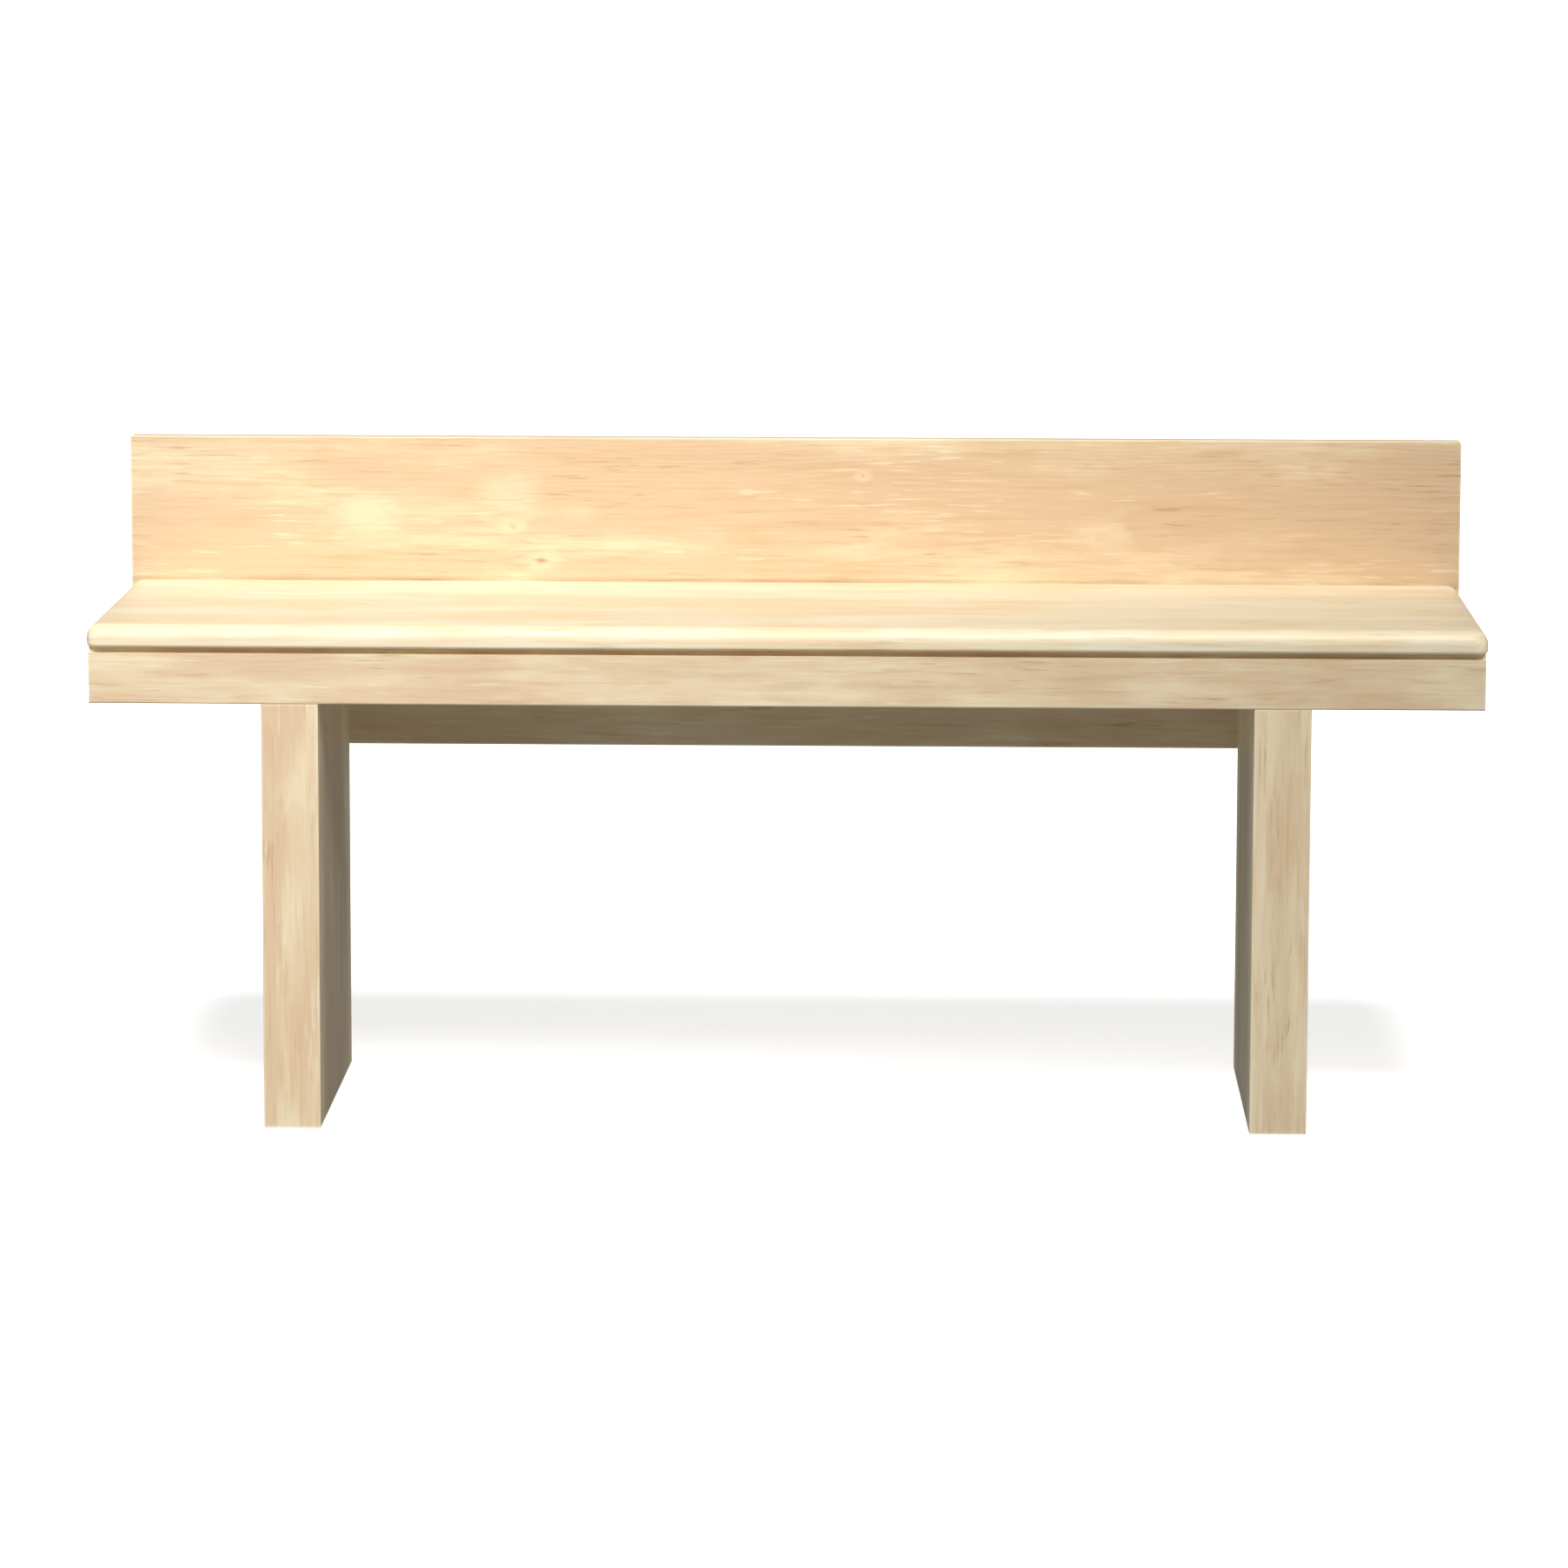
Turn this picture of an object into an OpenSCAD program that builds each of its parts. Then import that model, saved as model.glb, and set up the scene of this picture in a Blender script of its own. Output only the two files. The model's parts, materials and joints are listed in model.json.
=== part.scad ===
// Communion table in solid pale wood: a wide top with a rounded front edge, an
// apron frame set under a shadow gap, two hollow slab legs, a rear rail between
// them and a back panel that stands behind the top.
//
// Frame: millimetres, +X to the right, +Y to the back, +Z up. The origin is on
// the floor, in the middle of the footprint.

/* [Overall] */
// Length of the top, along X
length = 2200; // [1900:10:2400]
// Depth from the front edge of the top to the back of the back panel
depth = 650; // [620:10:720]
// Height of the top surface above the floor
top_height = 805; // [740:5:900]
// Height of the back panel above the top surface
upstand = 240; // [160:10:300]

/* [Top] */
// Thickness of the top
top_t = 36; // [34:1:45]
// Radius of the upper edge, along the front and both ends
nose_r = 22; // [12:1:22]
// Radius of the lower edge, along the front and both ends
under_r = 5; // [3:1:8]
// Radius of the two front corners, seen from above
corner_r = 24; // [23:1:40]

/* [Apron frame] */
// Height of the apron's face
apron_h = 80; // [75:1:100]
// Thickness of the apron boards
apron_t = 25; // [22:1:30]
// Height of the shadow gap between the apron and the top
reveal_h = 9; // [6:1:12]
// Depth of the shadow gap
reveal_d = 10; // [6:1:12]
// How far the top stands out past the apron
overhang = 4; // [2:1:12]

/* [Legs] */
// Width of a leg, seen from the front
leg_w = 90; // [84:1:110]
// Depth of a leg, from front to back
leg_d = 570; // [520:10:575]
// Distance from the end of the top to the outer face of a leg
leg_inset = 275; // [220:5:330]
// Thickness of the boards that a leg is made of
leg_board_t = 20; // [18:1:24]

/* [Back panel and rear rail] */
// Thickness of the back panel
panel_t = 25; // [22:1:30]
// Height of the rear rail between the legs
rail_h = 138; // [100:1:180]
// Thickness of the rear rail
rail_t = 25; // [22:1:30]

/* [Hidden] */
$fn = 48;

// What the overall sizes give
half_l = length / 2;
front_y = -depth / 2;
back_y = depth / 2;
panel_y = back_y - panel_t;
top_under = top_height - top_t;
apron_top = top_under - reveal_h;
apron_under = apron_top - apron_h;
apron_front = front_y + overhang;
apron_inner_front = apron_front + apron_t;
apron_inner_rear = panel_y - apron_t;
apron_end = half_l - overhang;
apron_inner_end = apron_end - apron_t;
frame_mid_y = (apron_inner_front + apron_inner_rear) / 2;
ease = 3;

// Boards of the top, glued edge to edge, and the loose tongues between them
top_boards = 5;
board_w = (panel_y - front_y) / top_boards;
tongue_t = 6;
tongue_w = 20;
tongue_stop = 50;
top_mid = top_under + top_t / 2;

// Buttons that hold the top down: a tongue on each sits in the apron's groove
groove_h = 9;
groove_d = 8;
button_w = 40;
button_l = 44;
button_t = 20;
button_tongue_t = 8;
button_tongue_l = 7;
button_under = top_under - button_t;
button_screw_y = 24;

// Legs, and the members of the frame
leg_outer = half_l - leg_inset;
leg_inner = leg_outer - leg_w;
leg_mid = (leg_outer + leg_inner) / 2;
leg_front = apron_front;
leg_back = leg_front + leg_d;
bearer_w = 90;
bearer_t = 40;
cross_t = 25;
cross_h = 70;
cross_x = length * 0.114;
block_leg = 72;
block_h = 60;
block_under = apron_under + 8;
block_seat = 14;
block_screw_x = 30;
block_screw_zs = [18, 42];

// Buttons stand outside the legs, inside them and in the middle
outer_button_x = (leg_outer + apron_inner_end - block_leg) / 2;
inner_button_x = (leg_inner + cross_x) / 2;
button_xs = [-outer_button_x, -inner_button_x, 0, inner_button_x, outer_button_x];

// Inside of a leg
glide_h = 4;
leg_under = glide_h;
leg_hollow_w = leg_w - 2 * leg_board_t;
hollow_front = leg_front + leg_board_t;
hollow_back = leg_back - leg_board_t;
leg_tongue = 6;
housing = 5;
leg_rail_t = 45;
leg_mid_rail_t = 25;
leg_mid_rail_z = (apron_under + leg_under) / 2 - leg_mid_rail_t / 2;
leg_rail_spans = [
    [leg_under - 1, leg_under + leg_rail_t],
    [leg_mid_rail_z, leg_mid_rail_z + leg_mid_rail_t],
    [apron_under - leg_rail_t, apron_under + 1]
];
leg_bolt_pitch = 200;
leg_bolt_ys = [for (k = [-1, 0, 1]) (hollow_front + hollow_back) / 2 + k * leg_bolt_pitch];

// Dowels and screws
dowel_d = 10;
frame_dowel_in_apron = 15;
frame_dowel_l = 40;
slab_dowel_in_panel = 12;
slab_dowel_l = 40;
slab_dowel_pitch = length * 0.155;
slab_dowel_xs = [for (k = [-3 : 3]) k * slab_dowel_pitch];
rail_dowel_in_leg = 12;
rail_dowel_l = 34;
screw_d = 5;
screw_head_d = 9.5;
screw_head_h = 3;
thin_screw_d = 4;
thin_screw_head_d = 8;
thin_screw_head_h = 2.2;
button_screw_l = 34;
panel_screw_l = 37;
panel_screw_count = 8;
panel_screw_pitch = 2 * outer_button_x / (panel_screw_count - 1);
panel_screw_xs = [for (k = [0 : panel_screw_count - 1]) k * panel_screw_pitch - outer_button_x];
panel_screw_z = apron_under + apron_h * 0.62;
screw_cover = 5;
screw_play = 0.5;
bolt_d = 8;
bolt_clear_d = 9;
bolt_head_af = 13;
bolt_head_h = 5.3;
bolt_l = 90;
washer_d = 20;
washer_t = 1.6;
tee_flange_t = 1.5;
tee_flange_d = 20;
tee_barrel_d = 10;
tee_barrel_l = 12;

// Rear rail and its angle brackets
rail_back = leg_back;
rail_front = rail_back - rail_t;
rail_under = apron_under - rail_h;
bracket_leg = 50;
bracket_h = 40;
bracket_t = 2;
bracket_under = apron_under - bracket_h - 18;
bracket_screw_l = 14;
bracket_screw_out = 34;

// Floor glides
glide_d = 34;
glide_screw_l = 25;
glide_head_z = 0.6;
glide_ys = [hollow_front + 30, hollow_back - 30];

// Boards of the back panel
panel_under = apron_under;
panel_joints = [top_height, top_height + upstand / 2];
panel_top = top_height + upstand;
panel_mid_y = panel_y + panel_t / 2;
panel_tongue_w = 16;
panel_corner_r = 6;

SIDES = [[-1, "left"], [1, "right"]];

// ---------------------------------------------------------------- helpers

// A box from one corner to the other
module block(low, high) {
    translate(low) cube(high - low);
}

// What is outside a quarter circle of radius r, in the corner at the origin
module corner_waste(r) {
    difference() {
        translate([-1, -1]) square(r + 1);
        translate([r, r]) circle(r);
    }
}

// A rectangle with its corners rounded: radii are [low left, low right, high right, high left]
module eased_rect(size, radii) {
    difference() {
        square(size);
        if (radii[0] > 0) corner_waste(radii[0]);
        if (radii[1] > 0) translate([size[0], 0]) mirror([1, 0]) corner_waste(radii[1]);
        if (radii[2] > 0) translate(size) rotate(180) corner_waste(radii[2]);
        if (radii[3] > 0) translate([0, size[1]]) mirror([0, 1]) corner_waste(radii[3]);
    }
}

// Turns a section drawn in X and Y into a length along X, with the section in Y and Z
module along_x(from, to) {
    translate([from, 0, 0]) rotate([90, 0, 90]) linear_extrude(to - from) children();
}

// The same along Y, with the section in X and Z
module along_y(from, to) {
    translate([0, to, 0]) rotate([90, 0, 0]) linear_extrude(to - from) children();
}

// A round bar along one axis from a point
module bar_x(at, d, l) {
    translate(at) rotate([0, 90, 0]) cylinder(d = d, h = l);
}
module bar_y(at, d, l) {
    translate(at) rotate([-90, 0, 0]) cylinder(d = d, h = l);
}
module bar_z(at, d, l) {
    translate(at) cylinder(d = d, h = l);
}

// A pan-head screw that points along +Z, its head's underside at the origin
module pan_screw(d, l, head_d, head_h) {
    cylinder(d = d, h = l);
    translate([0, 0, -head_h]) cylinder(d = head_d, h = head_h);
}

// A countersunk screw that points along +Z, its flat head at the origin
module sunk_screw(d, l, head_d, head_h) {
    cylinder(d1 = head_d, d2 = d, h = head_h);
    translate([0, 0, head_h]) cylinder(d = d, h = l - head_h);
}

// ---------------------------------------------------------------- the top

// Section of the top's edge: 0 is inside the top and reach is its outer face
module nose_section(reach) {
    square([reach - nose_r, top_t]);
    translate([0, under_r]) square([reach, top_t - nose_r - under_r]);
    square([reach - under_r, under_r + 1]);
    translate([reach - under_r, under_r]) circle(under_r);
    intersection() {
        translate([reach - nose_r, top_t - nose_r]) circle(nose_r);
        translate([reach - nose_r, top_t - nose_r]) square(nose_r);
    }
}

// The rounded front edge and the two front corners
module top_front_edge() {
    straight = half_l - corner_r;
    translate([0, front_y + corner_r, top_under]) {
        along_x(-straight, straight) mirror([1, 0]) nose_section(corner_r);
        translate([straight, 0, 0]) rotate([0, 0, -90]) rotate_extrude(angle = 90) nose_section(corner_r);
        translate([-straight, 0, 0]) rotate([0, 0, 180]) rotate_extrude(angle = 90) nose_section(corner_r);
    }
}

// A length of the top with both ends rounded
module top_length(from, to) {
    translate([0, 0, top_under]) along_y(from, to) {
        nose_section(half_l);
        mirror([1, 0]) nose_section(half_l);
    }
}

// A tongue, and the stopped groove for it, along a joint of the top
module top_tongue(y) {
    block([-half_l + tongue_stop, y - tongue_w / 2, top_mid - tongue_t / 2],
          [half_l - tongue_stop, y + tongue_w / 2, top_mid + tongue_t / 2]);
}

module top_board(i) {
    from = front_y + i * board_w;
    to = from + board_w;
    color("burlywood") difference() {
        union() {
            top_length(i == 0 ? from + corner_r : from, to);
            if (i == 0) top_front_edge();
        }
        if (i > 0) top_tongue(from);
        if (i < top_boards - 1) top_tongue(to);
        top_button_screw_bars();
        back_panel_dowel_bars();
    }
}

module top_tongues() {
    color("tan") for (i = [1 : top_boards - 1]) top_tongue(front_y + i * board_w);
}

// ---------------------------------------------------------------- buttons

// One button on the front apron's groove, its tongue pointing to -Y
module button() {
    difference() {
        union() {
            block([-button_w / 2, 0, 0], [button_w / 2, button_l, button_t]);
            block([-button_w / 2, -button_tongue_l, 0], [button_w / 2, 1, button_tongue_t]);
        }
        translate([0, button_screw_y, 0])
            sunk_screw(thin_screw_d + screw_play, button_t + 1, thin_screw_head_d, thin_screw_head_h);
    }
}

// Puts its children at each button's place, turned so that +Y points away from the apron
module at_buttons() {
    for (x = button_xs) {
        translate([x, apron_inner_front, button_under]) children();
        translate([x, apron_inner_rear, button_under]) rotate([0, 0, 180]) children();
    }
    translate([apron_inner_end, frame_mid_y, button_under]) rotate([0, 0, 90]) children();
    translate([-apron_inner_end, frame_mid_y, button_under]) rotate([0, 0, -90]) children();
}

module top_button_screw_bars() {
    at_buttons() bar_z([0, button_screw_y, 0], thin_screw_d, button_screw_l);
}

module top_buttons() {
    color("tan") at_buttons() button();
}

module top_button_screws() {
    color("silver") at_buttons() translate([0, button_screw_y, 0])
        sunk_screw(thin_screw_d, button_screw_l, thin_screw_head_d, thin_screw_head_h);
}

// ---------------------------------------------------------------- apron frame

// Section of an apron: 0 is its outer face and apron_t its inner face, from apron_under up
module apron_section(lower_ease) {
    eased_rect([apron_t, apron_h + reveal_h], [lower_ease, 0, 0, 0]);
}

// Section of the groove for the buttons, in an apron's inner face
module groove_section() {
    translate([apron_t - groove_d, button_under - apron_under - (groove_h - button_tongue_t) / 2])
        square([groove_d + 1, groove_h]);
}

// A front or rear apron, its outer face at Y 0. The groove stops at the end aprons
module long_apron(lower_ease) {
    difference() {
        along_x(-apron_end, apron_end) apron_section(lower_ease);
        along_x(apron_t - apron_end, apron_end - apron_t) groove_section();
    }
}

// The front apron's upper edge is cut back over its whole length, which leaves a shadow line
module front_apron() {
    color("burlywood") difference() {
        translate([0, apron_front, apron_under]) difference() {
            long_apron(ease);
            along_x(-apron_end - 1, apron_end + 1) translate([-1, apron_h])
                square([reveal_d + 1, reveal_h + 1]);
        }
        frame_dowel_bars();
        corner_block_screw_bars();
    }
}

module rear_apron() {
    color("burlywood") difference() {
        translate([0, panel_y, apron_under]) mirror([0, 1, 0]) long_apron(0);
        frame_dowel_bars();
        corner_block_screw_bars();
        for (x = panel_screw_xs) bar_y([x, apron_inner_rear - 1, panel_screw_z], screw_d, apron_t + 2);
    }
}

module end_apron(side) {
    color("burlywood") difference() {
        scale([side, 1, 1]) translate([apron_end, 0, apron_under]) mirror([1, 0, 0])
            along_y(apron_inner_front, apron_inner_rear) difference() {
                apron_section(ease);
                groove_section();
            }
        frame_dowel_bars();
        corner_block_screw_bars();
    }
}

// The flat board over a leg that the leg bolts to
module bearer(side) {
    x = side * leg_mid;
    color("tan") difference() {
        block([x - bearer_w / 2, apron_inner_front, apron_under],
              [x + bearer_w / 2, apron_inner_rear, apron_under + bearer_t]);
        frame_dowel_bars();
        for (y = leg_bolt_ys) bar_z([x, y, apron_under - 1], bolt_clear_d, bearer_t + 2);
    }
}

// An upright board across the frame that holds the top flat between the legs
module cross_rail(side) {
    x = side * cross_x;
    color("tan") difference() {
        block([x - cross_t / 2, apron_inner_front, top_under - cross_h],
              [x + cross_t / 2, apron_inner_rear, top_under]);
        frame_dowel_bars();
    }
}

// Dowels that point along Y from a joint at the front or rear apron's inner face
module frame_dowel_pair(x, z) {
    bar_y([x, apron_inner_front - frame_dowel_in_apron, z], dowel_d, frame_dowel_l);
    bar_y([x, apron_inner_rear + frame_dowel_in_apron - frame_dowel_l, z], dowel_d, frame_dowel_l);
}

module frame_dowel_bars() {
    for (side = [-1, 1]) {
        for (z = [apron_under + 16, apron_under + 48]) frame_dowel_pair(side * (apron_end - apron_t / 2), z);
        for (dx = [-28, 28]) frame_dowel_pair(side * leg_mid + dx, apron_under + bearer_t / 2);
        for (z = [top_under - cross_h + 12, top_under - cross_h + 38]) frame_dowel_pair(side * cross_x, z);
    }
}

module frame_dowels() {
    color("wheat") frame_dowel_bars();
}

// Puts its children in a corner of the frame: X and Y then point along the two aprons
module at_corner(side, end) {
    translate([side * apron_inner_end, end < 0 ? apron_inner_front : apron_inner_rear, block_under])
        scale([-side, -end, 1]) children();
}

// Puts its children at a corner block's two screws, one into each apron, pointing to +Y
module at_block_screws(y) {
    translate([block_screw_x, y, block_screw_zs[0]]) children();
    mirror([1, -1, 0]) translate([block_screw_x, y, block_screw_zs[1]]) children();
}

module corner_block(side, end) {
    nib = 8;
    color("tan") at_corner(side, end) difference() {
        linear_extrude(block_h)
            polygon([[0, 0], [block_leg, 0], [block_leg, nib], [nib, block_leg], [0, block_leg]]);
        at_block_screws(-1) bar_y([0, 0, 0], screw_d, block_leg);
        at_block_screws(block_seat) bar_y([0, 0, 0], screw_head_d + 1, block_leg);
    }
}

module corner_block_screw_bars() {
    reach = apron_t - screw_cover;
    for (side = [-1, 1]) for (end = [-1, 1]) at_corner(side, end)
        at_block_screws(-reach) bar_y([0, 0, 0], screw_d, reach + 1);
}

module corner_block_screws() {
    for (side = [-1, 1]) for (end = [-1, 1]) color("silver") at_corner(side, end)
        at_block_screws(block_seat) rotate([90, 0, 0])
            pan_screw(screw_d, block_seat + apron_t - screw_cover, screw_head_d, screw_head_h);
}

// ---------------------------------------------------------------- back panel

// A tongue, and the stopped groove for it, along a joint of the back panel
module panel_tongue(z) {
    block([-half_l + tongue_stop, panel_mid_y - tongue_t / 2, z - panel_tongue_w / 2],
          [half_l - tongue_stop, panel_mid_y + tongue_t / 2, z + panel_tongue_w / 2]);
}

module back_panel_lower() {
    color("burlywood") difference() {
        translate([0, panel_y, panel_under]) along_x(-half_l, half_l)
            eased_rect([panel_t, panel_joints[0] - panel_under], [1.5, ease, 0, 0]);
        panel_tongue(panel_joints[0]);
        back_panel_dowel_bars();
        for (x = panel_screw_xs) bar_y([x, panel_y - 1, panel_screw_z], screw_d, panel_screw_l - apron_t + 1);
    }
}

module back_panel_middle() {
    color("burlywood") difference() {
        block([-half_l, panel_y, panel_joints[0]], [half_l, back_y, panel_joints[1]]);
        panel_tongue(panel_joints[0]);
        panel_tongue(panel_joints[1]);
    }
}

module back_panel_upper() {
    height = panel_top - panel_joints[1];
    color("burlywood") difference() {
        intersection() {
            translate([0, panel_y, panel_joints[1]]) along_x(-half_l, half_l)
                eased_rect([panel_t, height], [0, 0, ease, ease]);
            along_y(panel_y, back_y) translate([-half_l, panel_joints[1]])
                eased_rect([length, height], [0, 0, panel_corner_r, panel_corner_r]);
        }
        panel_tongue(panel_joints[1]);
    }
}

module back_panel_tongues() {
    color("tan") for (z = panel_joints) panel_tongue(z);
}

module back_panel_dowel_bars() {
    for (x = slab_dowel_xs)
        bar_y([x, panel_y + slab_dowel_in_panel - slab_dowel_l, top_mid], dowel_d, slab_dowel_l);
}

module back_panel_dowels() {
    color("wheat") back_panel_dowel_bars();
}

module back_panel_screws() {
    color("silver") for (x = panel_screw_xs) {
        translate([x, apron_inner_rear, panel_screw_z]) rotate([-90, 0, 0])
            pan_screw(screw_d, panel_screw_l, screw_head_d, screw_head_h);
    }
}

// ---------------------------------------------------------------- legs

// One of a leg's two wide panels: its outer face is at x and it faces away along dir
module leg_panel(x, dir) {
    inner = x - dir * leg_board_t;
    color("burlywood") difference() {
        translate([min(x, inner), leg_front, leg_under]) linear_extrude(apron_under - leg_under)
            eased_rect([leg_board_t, leg_d], dir > 0 ? [0, ease, ease, 0] : [ease, 0, 0, ease]);
        translate([inner, 0, 0]) scale([dir, 1, 1]) {
            for (y = [leg_front, hollow_back]) {
                block([-1, y + (leg_board_t - leg_tongue) / 2, leg_under - 1],
                      [leg_tongue, y + (leg_board_t + leg_tongue) / 2, apron_under + 1]);
            }
            for (z = leg_rail_spans) block([-1, hollow_front, z[0]], [housing, hollow_back, z[1]]);
        }
        rear_rail_dowel_bars();
        bracket_screw_bars();
    }
}

// The narrow board that closes a leg at the front or the rear, tongued into both panels
module leg_board(side, y) {
    half = leg_hollow_w / 2;
    color("burlywood") translate([side * leg_mid, y, leg_under]) {
        block([-half, 0, 0], [half, leg_board_t, apron_under - leg_under]);
        block([-half - leg_tongue, (leg_board_t - leg_tongue) / 2, 0],
              [half + leg_tongue, (leg_board_t + leg_tongue) / 2, apron_under - leg_under]);
    }
}

// The length of a rail inside a leg, housed in both panels
module leg_rail_length(side, z, t) {
    half = leg_hollow_w / 2 + housing;
    block([side * leg_mid - half, hollow_front, z], [side * leg_mid + half, hollow_back, z + t]);
}

// The top rail takes the bolts from the frame
module leg_top_rail(side) {
    under = apron_under - leg_rail_t;
    color("tan") difference() {
        leg_rail_length(side, under, leg_rail_t);
        for (y = leg_bolt_ys) {
            bar_z([side * leg_mid, y, under - 1], bolt_clear_d, leg_rail_t + 2);
            bar_z([side * leg_mid, y, under - 1], tee_barrel_d, tee_barrel_l + 1);
        }
    }
}

module leg_middle_rail(side) {
    color("tan") leg_rail_length(side, leg_mid_rail_z, leg_mid_rail_t);
}

// The bottom rail takes the screws of the floor glides
module leg_bottom_rail(side) {
    color("tan") difference() {
        leg_rail_length(side, leg_under, leg_rail_t);
        for (y = glide_ys)
            bar_z([side * leg_mid, y, leg_under - 1], thin_screw_d, glide_screw_l - glide_h + 1);
    }
}

module leg_bolts() {
    color("silver") for (side = [-1, 1]) for (y = leg_bolt_ys) {
        translate([side * leg_mid, y, apron_under + bearer_t + washer_t]) {
            cylinder(d = bolt_head_af / cos(30), h = bolt_head_h, $fn = 6);
            translate([0, 0, -bolt_l]) cylinder(d = bolt_d, h = bolt_l + 1);
        }
    }
}

module leg_bolt_washers() {
    color("silver") for (side = [-1, 1]) for (y = leg_bolt_ys) {
        translate([side * leg_mid, y, apron_under + bearer_t]) difference() {
            cylinder(d = washer_d, h = washer_t);
            translate([0, 0, -1]) cylinder(d = bolt_d, h = washer_t + 2);
        }
    }
}

module leg_tee_nuts() {
    color("silver") for (side = [-1, 1]) for (y = leg_bolt_ys) {
        translate([side * leg_mid, y, apron_under - leg_rail_t]) difference() {
            union() {
                translate([0, 0, -tee_flange_t]) cylinder(d = tee_flange_d, h = tee_flange_t);
                translate([0, 0, -tee_flange_t]) cylinder(d = tee_barrel_d, h = tee_barrel_l + tee_flange_t);
            }
            translate([0, 0, -5]) cylinder(d = bolt_d, h = tee_barrel_l + 10);
        }
    }
}

// ---------------------------------------------------------------- rear rail

module rear_rail() {
    color("burlywood") difference() {
        translate([0, rail_front, rail_under]) along_x(-leg_inner, leg_inner)
            eased_rect([rail_t, rail_h], [ease, ease, ease, ease]);
        rear_rail_dowel_bars();
        bracket_screw_bars();
    }
}

module rear_rail_dowel_bars() {
    for (z = [rail_under + 22, rail_under + rail_h / 2, rail_under + rail_h - 22]) {
        for (x = [-leg_inner - rail_dowel_in_leg, leg_inner - rail_dowel_l + rail_dowel_in_leg])
            bar_x([x, rail_front + rail_t / 2, z], dowel_d, rail_dowel_l);
    }
}

module rear_rail_dowels() {
    color("wheat") rear_rail_dowel_bars();
}

// Puts its children in the corner between the rail and one leg, as if it were the right one
module at_bracket(side) {
    translate([side * leg_inner, rail_front, bracket_under]) scale([side, 1, 1]) children();
}

// Screw places on a bracket: one plate lies on the rail and one on the leg
module at_bracket_screws(depth_in) {
    for (z = bracket_h * [0.28, 0.72]) {
        translate([-bracket_screw_out, -bracket_t - depth_in, z]) rotate([-90, 0, 0]) children();
        translate([-bracket_t - depth_in, -bracket_screw_out, z]) rotate([0, 90, 0]) children();
    }
}

module bracket_screw_bars() {
    for (side = [-1, 1]) at_bracket(side) at_bracket_screws(0)
        cylinder(d = thin_screw_d, h = bracket_screw_l);
}

module rail_bracket(side) {
    color("silver") at_bracket(side) difference() {
        union() {
            block([-bracket_leg, -bracket_t, 0], [0, 0, bracket_h]);
            block([-bracket_t, -bracket_leg, 0], [0, 0, bracket_h]);
        }
        at_bracket_screws(1) cylinder(d = thin_screw_d, h = bracket_t + 2);
    }
}

module rail_bracket_screws() {
    for (side = [-1, 1]) color("silver") at_bracket(side) at_bracket_screws(0)
        pan_screw(thin_screw_d, bracket_screw_l, thin_screw_head_d, thin_screw_head_h);
}

// ---------------------------------------------------------------- floor glides

// A round pad screwed under a leg, with the screw's head sunk in it
module floor_glide(side, y) {
    color("dimgray") translate([side * leg_mid, y, 0]) difference() {
        cylinder(d = glide_d, h = glide_h);
        translate([0, 0, -1]) cylinder(d = thin_screw_d, h = glide_h + 2);
        translate([0, 0, -1]) cylinder(d = thin_screw_head_d, h = glide_head_z + thin_screw_head_h + 1);
    }
}

module floor_glide_screws() {
    color("silver") for (side = [-1, 1]) for (y = glide_ys) {
        translate([side * leg_mid, y, glide_head_z]) {
            cylinder(d = thin_screw_head_d, h = thin_screw_head_h);
            cylinder(d = thin_screw_d, h = glide_screw_l - glide_head_z);
        }
    }
}

// ---------------------------------------------------------------- every node

for (i = [0 : top_boards - 1]) top_board(i);
top_tongues();
front_apron();
rear_apron();
corner_block_screws();
frame_dowels();
top_buttons();
top_button_screws();
back_panel_lower();
back_panel_middle();
back_panel_upper();
back_panel_tongues();
back_panel_screws();
back_panel_dowels();
for (s = SIDES) {
    leg = str(s[1], "_leg_");
    end_apron(s[0]);
    bearer(s[0]);
    cross_rail(s[0]);
    corner_block(s[0], -1);
    corner_block(s[0], 1);
    leg_panel(s[0] * leg_outer, s[0]);
    leg_panel(s[0] * leg_inner, -s[0]);
    leg_board(s[0], leg_front);
    leg_board(s[0], hollow_back);
    leg_top_rail(s[0]);
    leg_middle_rail(s[0]);
    leg_bottom_rail(s[0]);
    rail_bracket(s[0]);
    floor_glide(s[0], glide_ys[0]);
    floor_glide(s[0], glide_ys[1]);
}
leg_bolts();
leg_bolt_washers();
leg_tee_nuts();
rear_rail();
rear_rail_dowels();
rail_bracket_screws();
floor_glide_screws();
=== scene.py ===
"""Looks for the communion table: procedural timber, fittings, floor, light and camera."""

import json
import math

import bpy
from mathutils import Matrix, Vector


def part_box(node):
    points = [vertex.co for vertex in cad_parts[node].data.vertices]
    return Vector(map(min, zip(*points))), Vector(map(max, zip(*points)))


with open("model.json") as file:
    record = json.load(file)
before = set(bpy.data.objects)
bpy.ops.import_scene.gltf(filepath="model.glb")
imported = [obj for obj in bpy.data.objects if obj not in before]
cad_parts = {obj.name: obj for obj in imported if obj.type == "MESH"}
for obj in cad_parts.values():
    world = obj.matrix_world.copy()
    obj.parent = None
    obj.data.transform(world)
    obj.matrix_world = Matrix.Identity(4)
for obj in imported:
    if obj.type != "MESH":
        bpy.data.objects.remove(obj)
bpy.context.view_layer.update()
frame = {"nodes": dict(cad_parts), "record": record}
SCENE = bpy.context.scene
X, Y, Z = 0, 1, 2


# ---------------------------------------------------------------- node graphs

MIX_FACTOR = 0
MIX_FIRST_COLOUR = 6
MIX_SECOND_COLOUR = 7
MIX_RESULT_COLOUR = 2


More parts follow.
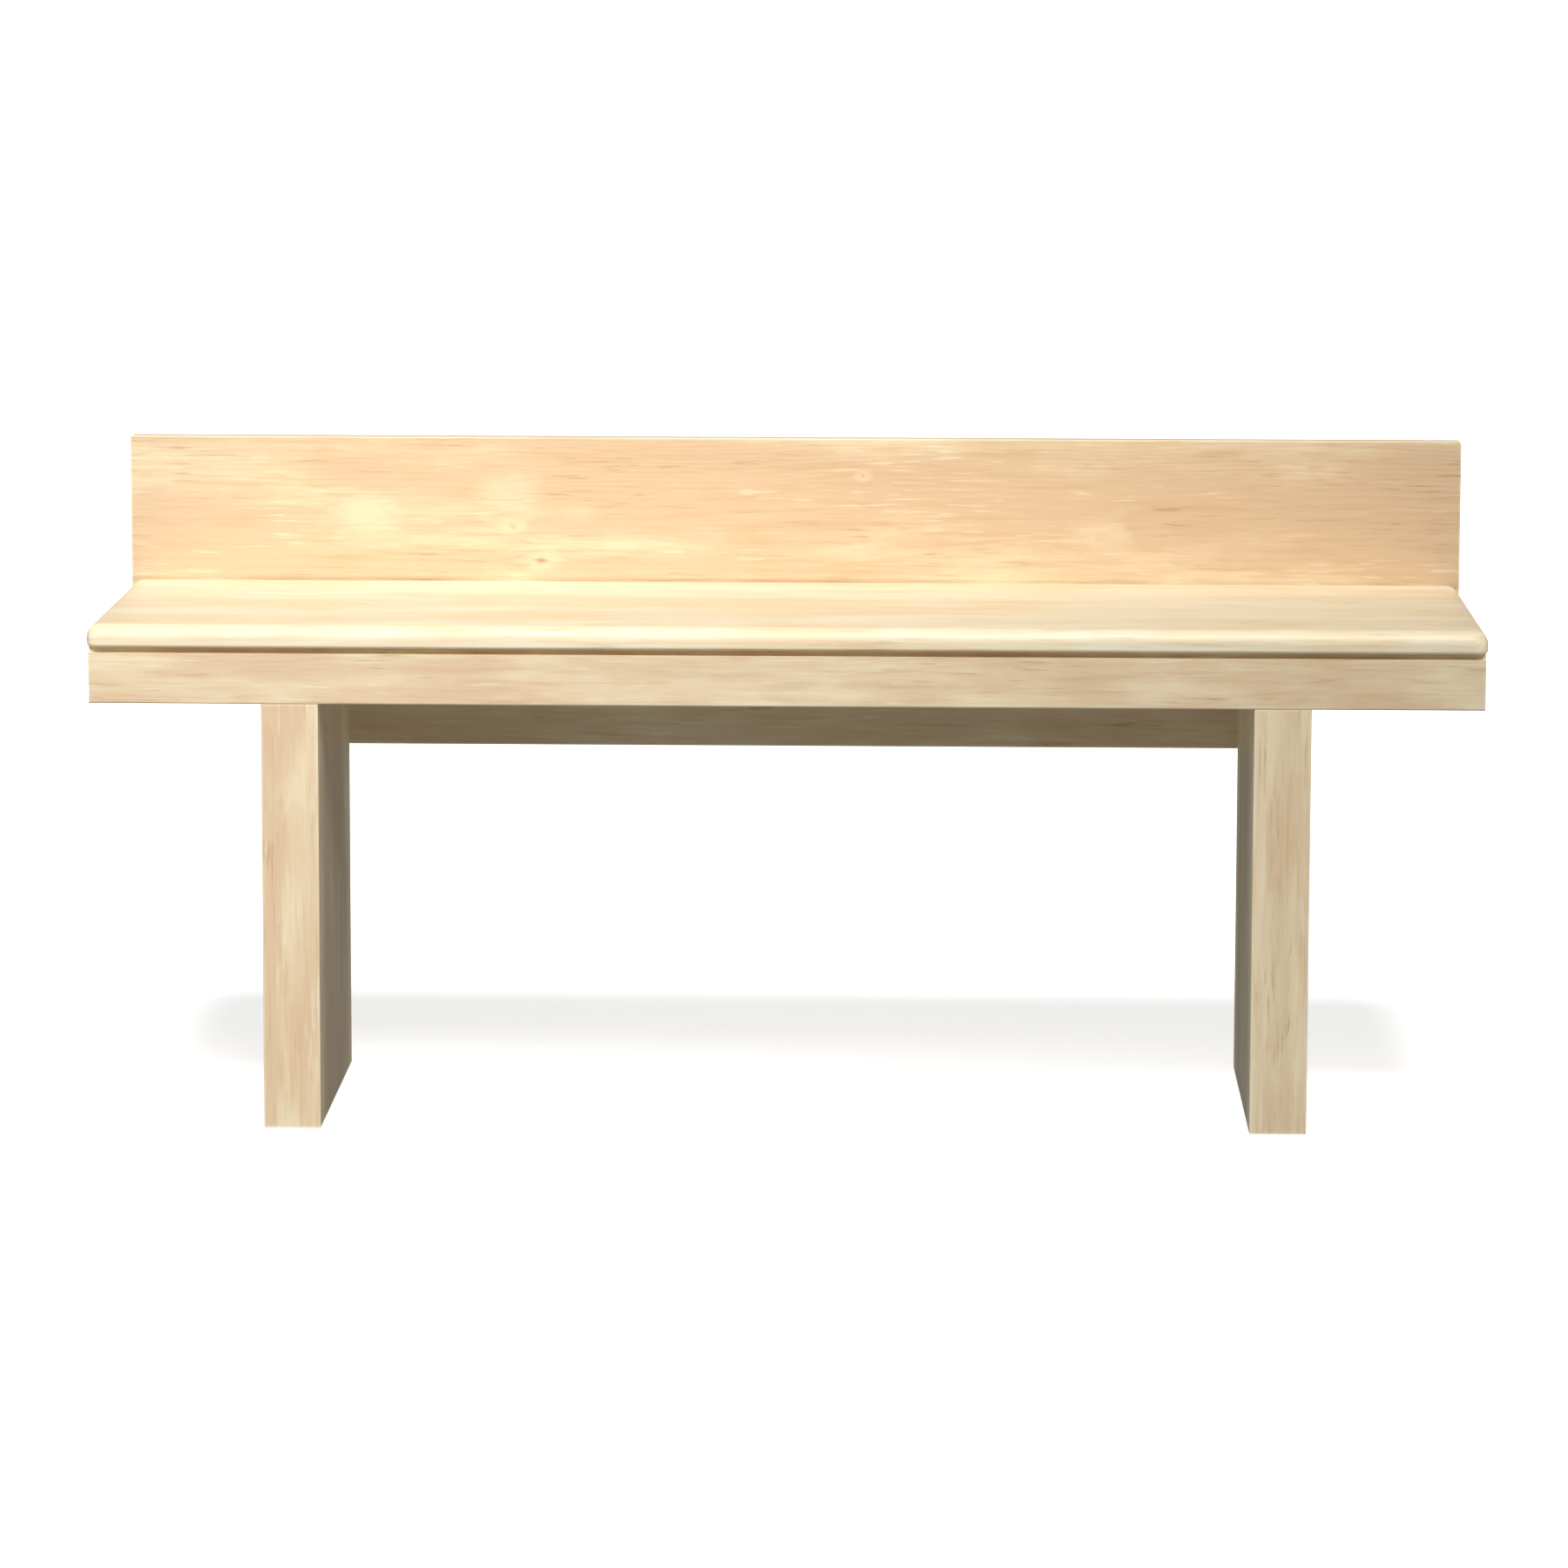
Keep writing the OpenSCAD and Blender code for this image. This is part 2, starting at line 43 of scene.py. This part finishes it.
class Graph:
    """A material's node tree, with short ways to add the nodes that the materials share."""

    def __init__(self, name):
        self.material = bpy.data.materials.new(name)
        self.material.use_nodes = True
        self.tree = self.material.node_tree
        self.tree.nodes.clear()

    def add(self, kind, inputs=None, **settings):
        node = self.tree.nodes.new(kind)
        for key, value in settings.items():
            setattr(node, key, value)
        for key, value in (inputs or {}).items():
            self.feed(node.inputs[key], value)
        return node

    def feed(self, socket, value):
        if isinstance(value, bpy.types.NodeSocket):
            self.tree.links.new(value, socket)
        else:
            socket.default_value = value

    def math(self, operation, *values):
        node = self.add("ShaderNodeMath", operation=operation)
        for socket, value in zip(node.inputs, values):
            self.feed(socket, value)
        return node.outputs[0]

    def vector(self, operation, *values):
        node = self.add("ShaderNodeVectorMath", operation=operation)
        for socket, value in zip(node.inputs, values):
            self.feed(socket, value)
        return node.outputs[0]

    def total(self, *values):
        result = values[0]
        for value in values[1:]:
            result = self.math("ADD", result, value)
        return result

    def noise(self, place, stretch, detail=2.0, roughness=0.5):
        """Noise from 0 to 1 about 0.5. stretch is how many times it varies in a metre, each way."""
        scaled = self.vector("MULTIPLY", place, stretch)
        inputs = {"Vector": scaled, "Scale": 1.0, "Detail": detail, "Roughness": roughness}
        return self.add("ShaderNodeTexNoise", inputs).outputs[0]

    def step(self, value, low, high):
        """0 below low and 1 above high, with a smooth rise between them."""
        inputs = {"Value": value, "From Min": low, "From Max": high}
        node = self.add("ShaderNodeMapRange", inputs, interpolation_type="SMOOTHSTEP")
        return node.outputs[0]

    def ramp(self, value, stops):
        node = self.add("ShaderNodeValToRGB", {"Fac": value})
        elements = node.color_ramp.elements
        while len(elements) < len(stops):
            elements.new(0.5)
        for element, (position, grey) in zip(elements, stops):
            element.position = position
            element.color = (grey, grey, grey, 1.0)
        return node.outputs[0]

    def mix(self, amount, first, second):
        """The first colour where amount is 0, the second where it is 1."""
        node = self.add("ShaderNodeMix", data_type="RGBA")
        self.feed(node.inputs[MIX_FACTOR], amount)
        self.feed(node.inputs[MIX_FIRST_COLOUR], first)
        self.feed(node.inputs[MIX_SECOND_COLOUR], second)
        return node.outputs[MIX_RESULT_COLOUR]

    def finish(self, height, depth, **inputs):
        """A Principled shader over a bump map, as the material's surface."""
        bump = self.add("ShaderNodeBump", {"Height": height, "Distance": depth, "Strength": 1.0})
        sockets = {key.replace("_", " "): value for key, value in inputs.items()}
        sockets["Normal"] = bump.outputs[0]
        shader = self.add("ShaderNodeBsdfPrincipled", sockets)
        output = self.add("ShaderNodeOutputMaterial")
        self.tree.links.new(shader.outputs[0], output.inputs["Surface"])
        return self.material


def colour(red, green, blue):
    """An sRGB colour from 0 to 255, as the linear colour that a socket takes."""
    linear = [c / 12.92 if c <= 0.04045 else ((c + 0.055) / 1.055) ** 2.4 for c in
              (red / 255, green / 255, blue / 255)]
    return (*linear, 1.0)


# ---------------------------------------------------------------- boxes from the frame


def joined_box(*nodes):
    """The box round several CAD nodes."""
    boxes = [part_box(node) for node in nodes]
    low = Vector([min(box[0][k] for box in boxes) for k in range(3)])
    high = Vector([max(box[1][k] for box in boxes) for k in range(3)])
    return low, high


TOP_BOARDS = ["top_board_%d" % k for k in range(1, 6)]
PANEL_BOARDS = ["back_panel_lower", "back_panel_middle", "back_panel_upper"]
TOP_BOX = joined_box(*TOP_BOARDS)
PANEL_BOX = joined_box(*PANEL_BOARDS)
TOP_SURFACE = TOP_BOX[1].z


# ---------------------------------------------------------------- timber

CREAM = colour(247, 230, 196)
PEACH = colour(231, 203, 169)
# Painted light: paler copies of the cream and peach, for the top boards, standing in for the stronger
# light and sheen on the top.
LIT_TOP_CREAM = colour(252, 240, 212)
LIT_TOP_PEACH = colour(248, 226, 188)
HONEY = colour(222, 186, 142)
LATEWOOD = colour(204, 166, 124)
FLECK = colour(160, 120, 82)
KNOT_CORE = colour(128, 94, 64)
KNOT_HALO = colour(250, 236, 204)
WORN = colour(252, 241, 215)
# Painted shade: the brown laid along the crease where the back panel meets the top.
CREASE_SHADE_COLOUR = colour(104, 82, 60)
WOOD_RELIEF = 0.0003
KNOT_STRETCH = 1.8
KNOT_WOBBLE = 2.6
KNOT_PULL = 0.9
PULL_FADE = 0.11
PITH_DRIFT = 0.075
PITH_LIFT = 0.035
RING_RIPPLE = 0.006
KNOT_DARKNESS = 0.45
WEAR_RAGGEDNESS = 0.006
FULLY_WORN = 0.0004
UNWORN = 0.0042
LACQUERED_ROUGHNESS = 0.40
RAW_ROUGHNESS = 0.62
SEED_STEP = Vector((3.17, 7.31, 5.93))


class Knot:
    """A knot or a pale patch: its place along and across the board, and how dark its core is."""

    def __init__(self, along, across, radius, dark):
        self.along = along
        self.across = across
        self.radius = radius
        self.dark = dark


class Timber:
    """How one board, or one glued-up panel, was cut: where its grain runs and what it carries.

    box is the board's corners, grain and width the axes that its grain and its width follow.
    pith is where the middle of the tree lies, across and through the board from its centre, and
    ring how far apart the growth rings are. tone makes it darker, contrast sets how strong its
    figure is, and the crease-shade setting is painted shade: a level, a spread and an amount of
    darkening, in patches, on the half that faces the front.
    """

    def __init__(self, box, grain, width, seed, pith=(0.0, -0.09), ring=0.0052, tone=0.0,
                 knots=(), contrast=1.0, finished=True, pale=False, crease_shade=None):
        self.box = box
        self.axes = (grain, width, 3 - grain - width)
        self.seed = seed
        self.pith = pith
        self.ring = ring
        self.tone = tone
        self.knots = knots
        self.contrast = contrast
        self.finished = finished
        # pale picks the paler copy of the colours: painted light, for the top.
        self.pale = pale
        self.crease_shade = crease_shade


class Place:
    """Where a point is in its board: along, across and through it, and in the world."""

    def __init__(self, g, timber):
        self.world = g.add("ShaderNodeTexCoord").outputs["Object"]
        centre = (timber.box[0] + timber.box[1]) / 2
        parts = g.add("ShaderNodeSeparateXYZ", {"Vector": g.vector("SUBTRACT", self.world, centre)})
        self.along, self.across, self.through = [parts.outputs[axis] for axis in timber.axes]
        joined = g.add("ShaderNodeCombineXYZ",
                       {"X": self.along, "Y": self.across, "Z": self.through}).outputs[0]
        self.seeded = g.vector("ADD", joined, SEED_STEP * timber.seed)


def knot_fields(g, timber, place):
    """For each knot, its pull on the rings (1 at its centre), and a ragged distance in knot radii."""
    fields = []
    wobble = g.math("SUBTRACT", g.noise(place.seeded, (34, 120, 120), 3, 0.6), 0.5)
    for knot in timber.knots:
        length = g.math("SUBTRACT", place.along, knot.along)
        length = g.math("DIVIDE", length, knot.radius * KNOT_STRETCH)
        width = g.math("SUBTRACT", place.across, knot.across)
        width = g.math("DIVIDE", width, knot.radius)
        square = g.math("ADD", g.math("MULTIPLY", length, length), g.math("MULTIPLY", width, width))
        pull = g.math("EXPONENT", g.math("MULTIPLY", square, -PULL_FADE))
        distance = g.math("ADD", g.math("SQRT", square), g.math("MULTIPLY", wobble, KNOT_WOBBLE))
        fields.append((knot, pull, distance))
    return fields


def growth_rings(g, timber, place, knots):
    """Latewood, from 0 to 1: rings about a pith that wanders below the board, lifted at knots."""
    drift = g.math("SUBTRACT", g.noise(place.seeded, (0.75, 2.5, 2.5), 2), 0.5)
    ripple = g.math("SUBTRACT", g.noise(place.seeded, (4.5, 16, 16), 2), 0.5)
    side = g.total(place.across, g.math("MULTIPLY", drift, PITH_DRIFT),
                   g.math("MULTIPLY", ripple, RING_RIPPLE))
    side = g.math("SUBTRACT", side, timber.pith[0])
    lift = g.math("SUBTRACT", g.noise(place.seeded, (1.3, 3.0, 3.0), 2), 0.5)
    deep = g.math("SUBTRACT", place.through, timber.pith[1])
    deep = g.math("ADD", deep, g.math("MULTIPLY", lift, PITH_LIFT))
    for knot, pull, _distance in knots:
        deep = g.math("ADD", deep, g.math("MULTIPLY", pull, knot.radius * KNOT_PULL))
    square = g.math("ADD", g.math("MULTIPLY", side, side), g.math("MULTIPLY", deep, deep))
    ring = g.math("FRACT", g.math("DIVIDE", g.math("SQRT", square), timber.ring))
    earlywood_to_latewood = [(0.0, 0.25), (0.12, 0.0), (0.55, 0.12), (0.86, 1.0), (0.97, 0.9),
                             (1.0, 0.25)]
    return g.ramp(ring, earlywood_to_latewood)


def edge_distance(g, box, place):
    """Distance to the nearest edge of a box, for a point on one of its faces."""
    half = (box[1] - box[0]) / 2
    centred = g.vector("ABSOLUTE", g.vector("SUBTRACT", place.world, (box[0] + box[1]) / 2))
    parts = g.add("ShaderNodeSeparateXYZ", {"Vector": g.vector("SUBTRACT", half, centred)}).outputs
    least = g.math("MINIMUM", g.math("MINIMUM", parts[0], parts[1]), parts[2])
    most = g.math("MAXIMUM", g.math("MAXIMUM", parts[0], parts[1]), parts[2])
    whole = g.total(parts[0], parts[1], parts[2])
    return g.math("SUBTRACT", g.math("SUBTRACT", whole, least), most)


def end_grain(g, timber):
    """1 on faces that the grain runs into, 0 on the others."""
    normal = g.add("ShaderNodeNewGeometry").outputs["Normal"]
    parts = g.add("ShaderNodeSeparateXYZ", {"Vector": normal})
    return g.step(g.math("ABSOLUTE", parts.outputs[timber.axes[0]]), 0.6, 0.95)


def colour_knots(g, base, knots):
    """A ragged pale halo round each knot, then a brown rim and a darker core."""
    for knot, _pull, distance in knots:
        halo = g.math("SUBTRACT", 1.0, g.step(distance, 0.8, 3.6))
        base = g.mix(g.math("MULTIPLY", halo, 0.42), base, KNOT_HALO)
        rim = g.math("SUBTRACT", 1.0, g.step(distance, 0.35, 1.15))
        base = g.mix(g.math("MULTIPLY", rim, KNOT_DARKNESS * knot.dark), base, FLECK)
        core = g.math("SUBTRACT", 1.0, g.step(distance, -0.1, 0.55))
        base = g.mix(g.math("MULTIPLY", core, KNOT_DARKNESS * knot.dark), base, KNOT_CORE)
    return base


def paint_crease_shade(g, base, timber, place, clump):
    """Painted shade: a brown band along one level, in patches, on the half that faces the front. It
    darkens the crease where the back panel meets the top.
    """
    level, spread, amount = timber.crease_shade
    world_z = g.add("ShaderNodeSeparateXYZ", {"Vector": place.world}).outputs[Z]
    height = g.math("ABSOLUTE", g.math("SUBTRACT", world_z, level))
    shade_mask = g.math("SUBTRACT", 1.0, g.step(height, spread * 0.4, spread))
    shade_mask = g.math("MULTIPLY", shade_mask, g.total(g.step(clump, 0.30, 0.75), 0.35))
    shade_mask = g.math("MULTIPLY", shade_mask, g.step(place.through, 0.002, -0.002))
    return g.mix(g.math("MULTIPLY", shade_mask, amount), base, CREASE_SHADE_COLOUR)


def wood(name, timber):
    """Pale pine: rings, fibres, short brown flecks, soft patches, knots, worn edges, and painted shade
    along a crease where a board asks for it.
    """
    g = Graph(name)
    place = Place(g, timber)
    knots = knot_fields(g, timber, place)
    late = growth_rings(g, timber, place, knots)
    contrast = timber.contrast

    patch = g.noise(place.seeded, (2.6, 9.0, 9.0), 4, 0.6)
    band = g.noise(place.seeded, (0.7, 15, 15), 3, 0.55)
    streak = g.noise(place.seeded, (6.5, 95, 95), 4, 0.62)
    fibre = g.noise(place.seeded, (14, 560, 560), 3, 0.6)
    dash = g.noise(place.seeded, (13, 190, 190), 2, 0.55)
    clump = g.noise(place.seeded, (3.4, 15, 15), 3, 0.6)

    blend = g.total(g.math("MULTIPLY", patch, 0.66), g.math("MULTIPLY", band, 0.34), timber.tone)
    # The paler pair is painted light, for the top's boards.
    light, dark = (LIT_TOP_CREAM, LIT_TOP_PEACH) if timber.pale else (CREAM, PEACH)
    base = g.mix(g.step(blend, 0.40, 0.60), light, dark)
    base = g.mix(g.math("MULTIPLY", g.step(streak, 0.48, 0.72), 0.55 * contrast), base, HONEY)
    rings = g.math("MULTIPLY", late, g.math("MULTIPLY", g.step(clump, 0.35, 0.7), 0.22 * contrast))
    base = g.mix(rings, base, LATEWOOD)
    base = g.mix(g.math("MULTIPLY", g.step(fibre, 0.42, 0.75), 0.18 * contrast), base, LATEWOOD)
    flecks = g.math("MULTIPLY", g.step(dash, 0.56, 0.70), g.step(clump, 0.47, 0.66))
    base = g.mix(g.math("MULTIPLY", flecks, 0.36 * contrast), base, FLECK)
    slivers = g.math("MULTIPLY", g.step(dash, 0.44, 0.32), g.step(clump, 0.52, 0.36))
    base = g.mix(g.math("MULTIPLY", slivers, 0.5 * contrast), base, WORN)
    base = colour_knots(g, base, knots)

    ends = end_grain(g, timber)
    base = g.mix(g.math("MULTIPLY", ends, 0.35), base, HONEY)
    edge = edge_distance(g, timber.box, place)
    ragged = g.math("MULTIPLY", g.math("SUBTRACT", streak, 0.5), WEAR_RAGGEDNESS)
    worn = g.math("SUBTRACT", 1.0, g.step(g.math("ADD", edge, ragged), FULLY_WORN, UNWORN))
    base = g.mix(g.math("MULTIPLY", worn, 0.45), base, WORN)
    # Painted shade along a crease, in patches, where the board asks for it.
    if timber.crease_shade:
        base = paint_crease_shade(g, base, timber, place, clump)

    least_roughness = LACQUERED_ROUGHNESS if timber.finished else RAW_ROUGHNESS
    roughness = g.total(least_roughness,
                        g.math("MULTIPLY", fibre, 0.14), g.math("MULTIPLY", late, -0.05),
                        g.math("MULTIPLY", worn, 0.08), g.math("MULTIPLY", ends, 0.12))
    height = g.total(g.math("MULTIPLY", fibre, 0.55), g.math("MULTIPLY", late, 0.28),
                     g.math("MULTIPLY", streak, 0.35), g.math("MULTIPLY", flecks, -0.5))
    coat, specular = (0.06, 0.30) if timber.finished else (0.0, 0.20)
    return g.finish(height, WOOD_RELIEF, Base_Color=base, Roughness=roughness, Coat_Weight=coat,
                    Coat_Roughness=0.35, Specular_IOR_Level=specular)


# ---------------------------------------------------------------- metal and plastic

STEEL_RELIEF = 0.00004
PLASTIC_RELIEF = 0.00006


def plated_steel():
    """Zinc-plated steel with fine drawing lines, dull spots and a soft variation of tone."""
    g = Graph("zinc_plated_steel")
    place = g.add("ShaderNodeTexCoord").outputs["Object"]
    cloud = g.noise(place, (55, 55, 55), 3)
    scratch = g.noise(place, (1500, 140, 140), 3, 0.6)
    base = g.mix(cloud, colour(168, 170, 172), colour(205, 206, 204))
    spots = g.step(g.noise(place, (420, 420, 420), 2), 0.62, 0.74)
    base = g.mix(g.math("MULTIPLY", spots, 0.4), base, colour(122, 118, 108))
    roughness = g.total(0.26, g.math("MULTIPLY", cloud, 0.16), g.math("MULTIPLY", spots, 0.25))
    height = g.total(scratch, g.math("MULTIPLY", spots, 0.6))
    return g.finish(height, STEEL_RELIEF, Base_Color=base, Roughness=roughness, Metallic=1.0)


def glide_plastic():
    """Dark moulded nylon, matt, with a fine spark-eroded texture and rubbed patches."""
    g = Graph("glide_plastic")
    place = g.add("ShaderNodeTexCoord").outputs["Object"]
    grain = g.noise(place, (1800, 1800, 1800), 2)
    rubbed = g.step(g.noise(place, (90, 90, 90), 3), 0.45, 0.7)
    base = g.mix(rubbed, colour(58, 54, 50), colour(88, 83, 77))
    roughness = g.total(0.55, g.math("MULTIPLY", grain, 0.15), g.math("MULTIPLY", rubbed, -0.12))
    return g.finish(grain, PLASTIC_RELIEF, Base_Color=base, Roughness=roughness)


# ---------------------------------------------------------------- dressing the CAD nodes

SMALL_ARRIS = 0.0008
LEG_ARRIS = 0.0007
BUTTON_ARRIS = 0.0006
GLIDE_ARRIS = 0.0005
STEEL_ARRIS = 0.0003


def dress(node, material, bevel=0.0):
    """Gives a CAD node its material, and a small arris where its edges are sharp."""
    piece = frame["nodes"][node]
    piece.data.materials.clear()
    piece.data.materials.append(material)
    if bevel:
        modifier = piece.modifiers.new("arris", "BEVEL")
        modifier.width = bevel
        modifier.segments = 3
        modifier.limit_method = "ANGLE"
        modifier.angle_limit = math.radians(50)
        modifier.harden_normals = True


def dress_wood(nodes, timber, bevel=0.0):
    material = wood(nodes[0], timber)
    for node in nodes:
        dress(node, material, bevel)


def dress_inner(nodes, grain, width, seed, bevel=0.0):
    """Unfinished timber, for pieces that no one sees with the table standing."""
    dress_wood(nodes, Timber(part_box(nodes[0]), grain, width, seed, finished=False), bevel)


def dress_top():
    """The five boards of the top share one run of figure, with a little difference in tone, in the paler
    colours painted for the light that falls on the top.
    """
    for k, node in enumerate(TOP_BOARDS):
        timber = Timber(TOP_BOX, X, Y, seed=1, tone=-0.02 + 0.008 * (k % 3), contrast=0.6,
                        pith=(0.05, -0.14), ring=0.006, pale=True)
        dress_wood([node], timber)


def dress_back_panel():
    """Three boards with matched figure; the knots are where the panel shows them."""
    length = PANEL_BOX[1].x - PANEL_BOX[0].x
    middle_z = (PANEL_BOX[0].z + PANEL_BOX[1].z) / 2
    foot = TOP_SURFACE - middle_z
    knots = [Knot(-0.190 * length, foot + 0.036, radius=0.0075, dark=1.0),
             Knot(-0.212 * length, foot + 0.092, radius=0.0060, dark=0.35),
             Knot(-0.214 * length, foot + 0.150, radius=0.0120, dark=0.0),
             Knot(-0.322 * length, foot + 0.110, radius=0.0120, dark=0.0),
             Knot(0.052 * length, foot + 0.178, radius=0.0035, dark=0.6),
             Knot(0.231 * length, foot + 0.076, radius=0.0110, dark=0.18)]
    for k, node in enumerate(PANEL_BOARDS):
        # Painted shade darkens the panel's front along its foot, where it meets the top.
        timber = Timber(PANEL_BOX, X, Z, seed=2, tone=0.04 + 0.008 * k, knots=knots,
                        pith=(0.02, -0.12), ring=0.0058, crease_shade=(TOP_SURFACE, 0.009, 0.28))
        dress_wood([node], timber)


def dress_frame():
    """Aprons, bearers, cross rails and corner blocks."""
    dress_wood(["front_apron"],
               Timber(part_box("front_apron"), X, Z, seed=12, tone=0.01, contrast=0.9), bevel=SMALL_ARRIS)
    dress_wood(["rear_apron"], Timber(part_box("rear_apron"), X, Z, seed=4, tone=0.02))
    for seed, side in ((5, "left"), (6, "right")):
        end = side + "_end_apron"
        dress_wood([end], Timber(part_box(end), Y, Z, seed=seed), bevel=SMALL_ARRIS)
        dress_inner([side + "_bearer"], Y, X, seed + 2, bevel=SMALL_ARRIS)
        dress_inner([side + "_cross_rail"], Y, Z, seed + 4, bevel=SMALL_ARRIS)
        dress_inner(["front_" + side + "_corner_block"], Z, X, seed + 6, bevel=SMALL_ARRIS)
        dress_inner(["rear_" + side + "_corner_block"], Z, X, seed + 8, bevel=SMALL_ARRIS)


def dress_legs():
    """Each leg's four boards are cut separately; its rails are plain inner timber."""
    for seed, side, tone in ((21, "left", 0.05), (31, "right", -0.02)):
        boards = [side + "_leg_" + part for part in
                  ("outer_panel", "inner_panel", "front_board", "rear_board")]
        leg_box = joined_box(*boards)
        for k, node in enumerate(boards):
            width = Y if node.endswith("panel") else X
            timber = Timber(leg_box, Z, width, seed=seed + k, tone=tone, contrast=0.95,
                            pith=(0.01, -0.07), ring=0.0048)
            dress_wood([node], timber, bevel=LEG_ARRIS)
        rails = [side + "_leg_" + part for part in ("top_rail", "middle_rail", "bottom_rail")]
        for k, node in enumerate(rails):
            dress_inner([node], Y, X, seed + 4 + k, bevel=SMALL_ARRIS)


def dress_rest():
    """The rear rail, the loose tongues, the buttons, the dowels, the steel and the glides."""
    dress_wood(["rear_rail"], Timber(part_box("rear_rail"), X, Z, seed=41, tone=0.03), bevel=SMALL_ARRIS)
    dress_inner(["top_buttons"], Y, X, 42, bevel=BUTTON_ARRIS)
    dress_inner(["top_tongues", "back_panel_tongues"], X, Y, 43)
    dress_inner(["frame_dowels", "back_panel_dowels"], Y, X, 44)
    dress_inner(["rear_rail_dowels"], X, Z, 45)
    steel = plated_steel()
    plastic = glide_plastic()
    for entry in frame["record"]["subparts"]:
        if entry["material_slot"] == "steel":
            dress(entry["node"], steel, STEEL_ARRIS)
        if entry["material_slot"] == "glide_plastic":
            dress(entry["node"], plastic, GLIDE_ARRIS)


# ---------------------------------------------------------------- floor, light and camera


FLOOR_REACH = 150.0
FLOOR_RELIEF = 0.0001
WHITE = (1.0, 1.0, 1.0, 1.0)
WARM = (1.0, 0.965, 0.92)
SOFT_WARM = (1.0, 0.975, 0.94)
NEAR_WHITE = (1.0, 0.985, 0.96)
COOL = (0.84, 0.95, 1.0, 1.0)


def make_floor():
    """A wide pale floor, plain but for a faint mottle. It casts no light on the table."""
    g = Graph("studio_floor")
    place = g.add("ShaderNodeTexCoord").outputs["Object"]
    mottle = g.noise(place, (2.0, 2.0, 2.0), 3)
    base = g.mix(mottle, colour(243, 243, 242), colour(248, 248, 247))
    material = g.finish(mottle, FLOOR_RELIEF, Base_Color=base, Roughness=0.9,
                        Emission_Color=WHITE, Emission_Strength=0.72)
    mesh = bpy.data.meshes.new("studio_floor")
    corners = [(-FLOOR_REACH, -FLOOR_REACH, 0), (FLOOR_REACH, -FLOOR_REACH, 0),
               (FLOOR_REACH, FLOOR_REACH, 0), (-FLOOR_REACH, FLOOR_REACH, 0)]
    mesh.from_pydata(corners, [], [(0, 1, 2, 3)])
    mesh.materials.append(material)
    floor = bpy.data.objects.new("studio_floor", mesh)
    SCENE.collection.objects.link(floor)
    floor.visible_diffuse = False
    floor.visible_glossy = False


def aim(thing, target):
    direction = Vector(target) - thing.location
    thing.rotation_euler = direction.to_track_quat("-Z", "Y").to_euler()


def make_spot(name, location, target, cone, radius, power, tint):
    """A spotlight whose light fades evenly from the middle of its cone to the rim."""
    data = bpy.data.lights.new(name, "SPOT")
    data.spot_size = math.radians(cone)
    data.spot_blend = 1.0
    data.shadow_soft_size = radius
    data.energy = power
    data.color = tint
    light = bpy.data.objects.new(name, data)
    light.location = location
    SCENE.collection.objects.link(light)
    aim(light, target)


def make_sun(name, direction, strength, softness, tint, glints=True):
    """A distant light. Without glints it is left out of reflections."""
    data = bpy.data.lights.new(name, "SUN")
    data.energy = strength
    data.angle = math.radians(softness)
    data.color = tint
    light = bpy.data.objects.new(name, data)
    light.visible_glossy = glints
    SCENE.collection.objects.link(light)
    aim(light, direction)


def make_surround():
    """A dim studio overhead, and cool light coming up from below."""
    world = bpy.data.worlds.new("studio")
    world.use_nodes = True
    tree = world.node_tree
    place = tree.nodes.new("ShaderNodeTexCoord")
    parts = tree.nodes.new("ShaderNodeSeparateXYZ")
    level = tree.nodes.new("ShaderNodeMapRange")
    level.inputs["From Min"].default_value = -0.60
    level.inputs["From Max"].default_value = -0.05
    level.inputs["To Min"].default_value = 0.46
    level.inputs["To Max"].default_value = 0.08
    background = tree.nodes["Background"]
    background.inputs["Color"].default_value = COOL
    tree.links.new(place.outputs["Generated"], parts.inputs[0])
    tree.links.new(parts.outputs[Z], level.inputs[0])
    tree.links.new(level.outputs[0], background.inputs["Strength"])
    SCENE.world = world


def make_lights():
    """A key in front, a spotlight that fades to the right, level fills and a surround."""
    make_sun("key_sun", (0.0, 0.56, -0.83), strength=2.75, softness=16, tint=WARM)
    make_spot("left_spot", location=(0.2, -5.0, 5.0), target=(-1.25, 0.0, 0.95), cone=41,
              radius=0.8, power=900, tint=NEAR_WHITE)
    for name, direction, strength in (("rear_fill", (0.0, -1.0, 0.0), 2.2),
                                      ("left_fill", (1.0, 0.0, 0.0), 2.0),
                                      ("right_fill", (-1.0, 0.0, 0.0), 1.7)):
        make_sun(name, direction, strength, softness=12, tint=SOFT_WARM, glints=False)
    make_surround()
    SCENE.view_settings.view_transform = "Standard"


def make_camera():
    """A long lens, in front of the table and a little above it."""
    location = (0.2314, -10.747, 2.0777)
    yaw = Matrix.Rotation(math.radians(1.282), 4, "Z")
    pitch = Matrix.Rotation(math.radians(-8.29), 4, "X")
    roll = Matrix.Rotation(math.radians(-0.15), 4, "Y")
    upright = Matrix.Rotation(math.radians(90), 4, "X")
    data = bpy.data.cameras.new("camera")
    data.sensor_width = 36.0
    data.lens = 154.0
    data.clip_end = 400.0
    camera = bpy.data.objects.new("camera", data)
    camera.matrix_world = Matrix.Translation(location) @ yaw @ pitch @ roll @ upright
    SCENE.collection.objects.link(camera)
    SCENE.camera = camera


dress_top()
dress_back_panel()
dress_frame()
dress_legs()
dress_rest()
make_floor()
make_lights()
make_camera()
